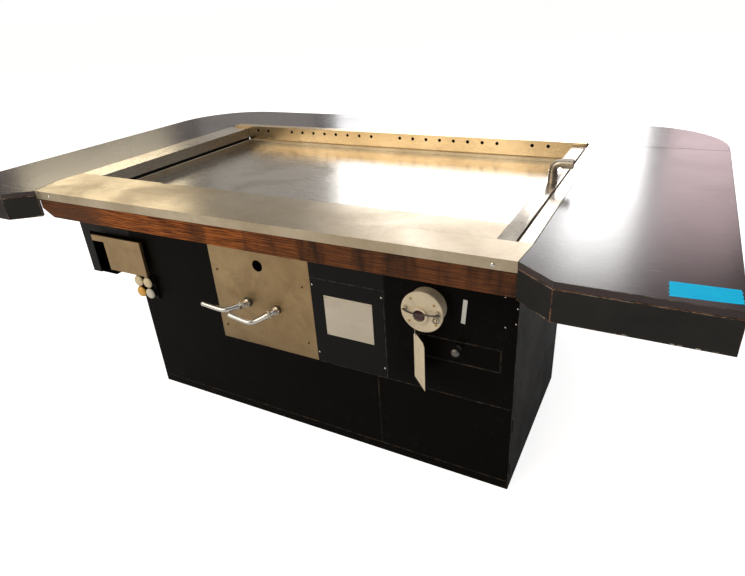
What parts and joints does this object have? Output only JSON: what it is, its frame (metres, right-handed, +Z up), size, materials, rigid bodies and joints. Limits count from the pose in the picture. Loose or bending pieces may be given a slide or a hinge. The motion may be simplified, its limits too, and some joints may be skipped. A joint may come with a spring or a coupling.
{
  "type": "flat top griddle table",
  "caption": "Flat top griddle table: a sunk steel cooking plate in a guest counter, over a floor cabinet with gas levers, drawers, a door and a safety release.",
  "frame": {"origin": "on the floor, under the middle of the counter", "axes": "+Z up; -Y is the cook's side, where the levers and drawers are; +X to the cook's right"},
  "size_m": [2.61, 1.595, 0.829],
  "materials": {
    "dark_laminate": "very dark brown glossy laminate over board, worn grey at the edges",
    "stainless": "brushed stainless sheet, warm and slightly stained",
    "griddle_steel": "ground and polished steel with use marks",
    "oak": "red-brown stained oak, satin varnish",
    "black_laminate": "black satin laminate board, scuffed",
    "black_enamel": "black enamel on sheet steel",
    "sheet_steel": "plain sheet steel, warm and dull",
    "chrome": "bright plating",
    "cast_iron": "dark iron",
    "brass": "turned brass",
    "cream_enamel": "cream enamel, chipped",
    "dark_red_plastic": "dark red gloss",
    "card": "buff card",
    "cream_plastic": "cream gloss",
    "yellow_plastic": "yellow gloss",
    "grey_plastic": "grey-white gloss",
    "red_enamel": "red enamel",
    "pine": "plain softwood and plywood"
  },
  "bodies": {
    "table": {"counter_left": "dark_laminate", "counter_back": "dark_laminate", "counter_right": "dark_laminate", "skirt_wrap": "dark_laminate", "skirt_front_left": "dark_laminate", "skirt_front_right": "dark_laminate", "front_ledge": "stainless", "front_rail": "stainless", "left_rail": "stainless", "right_rail": "stainless", "right_trim": "stainless", "back_splash": "stainless", "plate_lip": "stainless", "grease_trough": "stainless", "drain_tube": "stainless", "name_plate": "stainless", "griddle_plate": "griddle_steel", "wood_apron": "oak", "front_board": "black_laminate", "upper_right_panel": "black_laminate", "kick_rail": "black_laminate", "cabinet_left_side": "black_laminate", "cabinet_right_side": "black_laminate", "rear_base": "black_laminate", "instrument_panel": "black_enamel", "grease_housing": "black_enamel", "housing_flange": "black_enamel", "switch_box": "black_enamel", "plate_support_left": "black_enamel", "plate_support_right": "black_enamel", "control_panel": "sheet_steel", "nozzle_pipe": "chrome", "nozzle": "chrome", "burner_box": "cast_iron", "burner_left": "cast_iron", "burner_right": "cast_iron", "gas_manifold": "cast_iron", "gas_valve_left": "brass", "gas_valve_right": "brass", "pull_station_body": "cream_enamel", "agent_cylinder": "red_enamel", "panel_frame": "pine", "cabinet_divider": "pine", "cabinet_floor": "pine", "support_beam_front": "pine", "support_beam_rear": "pine", "wing_bearer_left": "pine", "wing_bearer_right": "pine"},
    "lever_left_body": {"valve_lever_left": "chrome"},
    "lever_right_body": {"valve_lever_right": "chrome"},
    "pull_handle_body": {"pull_handle": "dark_red_plastic"},
    "tag_body": {"service_tag": "card"},
    "small_drawer_body": {"small_drawer": "black_laminate", "drawer_knob": "chrome"},
    "door_body": {"lower_right_door": "black_laminate"},
    "grease_drawer_body": {"grease_drawer": "sheet_steel"},
    "button_1_body": {"push_button_1": "cream_plastic"},
    "button_2_body": {"push_button_2": "cream_plastic"},
    "button_3_body": {"push_button_3": "yellow_plastic"},
    "button_4_body": {"push_button_4": "grey_plastic"}
  },
  "joints": [
    {"name": "valve_lever_left_turn", "type": "hinge", "parent": "table", "child": "lever_left_body", "pos_m": [0.0009, -0.68, 0.4466], "axis": [0, 1, 0], "range_deg": [0, 90]},
    {"name": "valve_lever_right_turn", "type": "hinge", "parent": "table", "child": "lever_right_body", "pos_m": [0.1154, -0.68, 0.4411], "axis": [0, -1, 0], "range_deg": [0, 90]},
    {"name": "pull_handle_slide", "type": "slide", "parent": "table", "child": "pull_handle_body", "axis": [0, -1, 0], "range_m": [0, 0.025]},
    {"name": "small_drawer_slide", "type": "slide", "parent": "table", "child": "small_drawer_body", "axis": [0, -1, 0], "range_m": [0, 0.18]},
    {"name": "service_tag_swing", "type": "hinge", "parent": "table", "child": "tag_body", "pos_m": [0.5915, -0.69, 0.41], "axis": [0, 0, -1], "range_deg": [0, 131.5]},
    {"name": "lower_door_hinge", "type": "hinge", "parent": "table", "child": "door_body", "pos_m": [0.8676, -0.6755, 0.16], "axis": [0, 0, 1], "range_deg": [0, 110]},
    {"name": "grease_drawer_slide", "type": "slide", "parent": "table", "child": "grease_drawer_body", "axis": [0, -1, 0], "range_m": [0, 0.22]},
    {"name": "push_button_1_press", "type": "slide", "parent": "table", "child": "button_1_body", "axis": [0, 1, 0], "range_m": [0, 0.004], "stiffness_N_per_m": 400},
    {"name": "push_button_2_press", "type": "slide", "parent": "table", "child": "button_2_body", "axis": [0, 1, 0], "range_m": [0, 0.004], "stiffness_N_per_m": 400},
    {"name": "push_button_3_press", "type": "slide", "parent": "table", "child": "button_3_body", "axis": [0, 1, 0], "range_m": [0, 0.004], "stiffness_N_per_m": 400},
    {"name": "push_button_4_press", "type": "slide", "parent": "table", "child": "button_4_body", "axis": [0, 1, 0], "range_m": [0, 0.004], "stiffness_N_per_m": 400}
  ],
  "couplings": [
    {"joint": "service_tag_swing", "follows": "small_drawer_slide", "rad_per_m": 12.7}
  ]
}
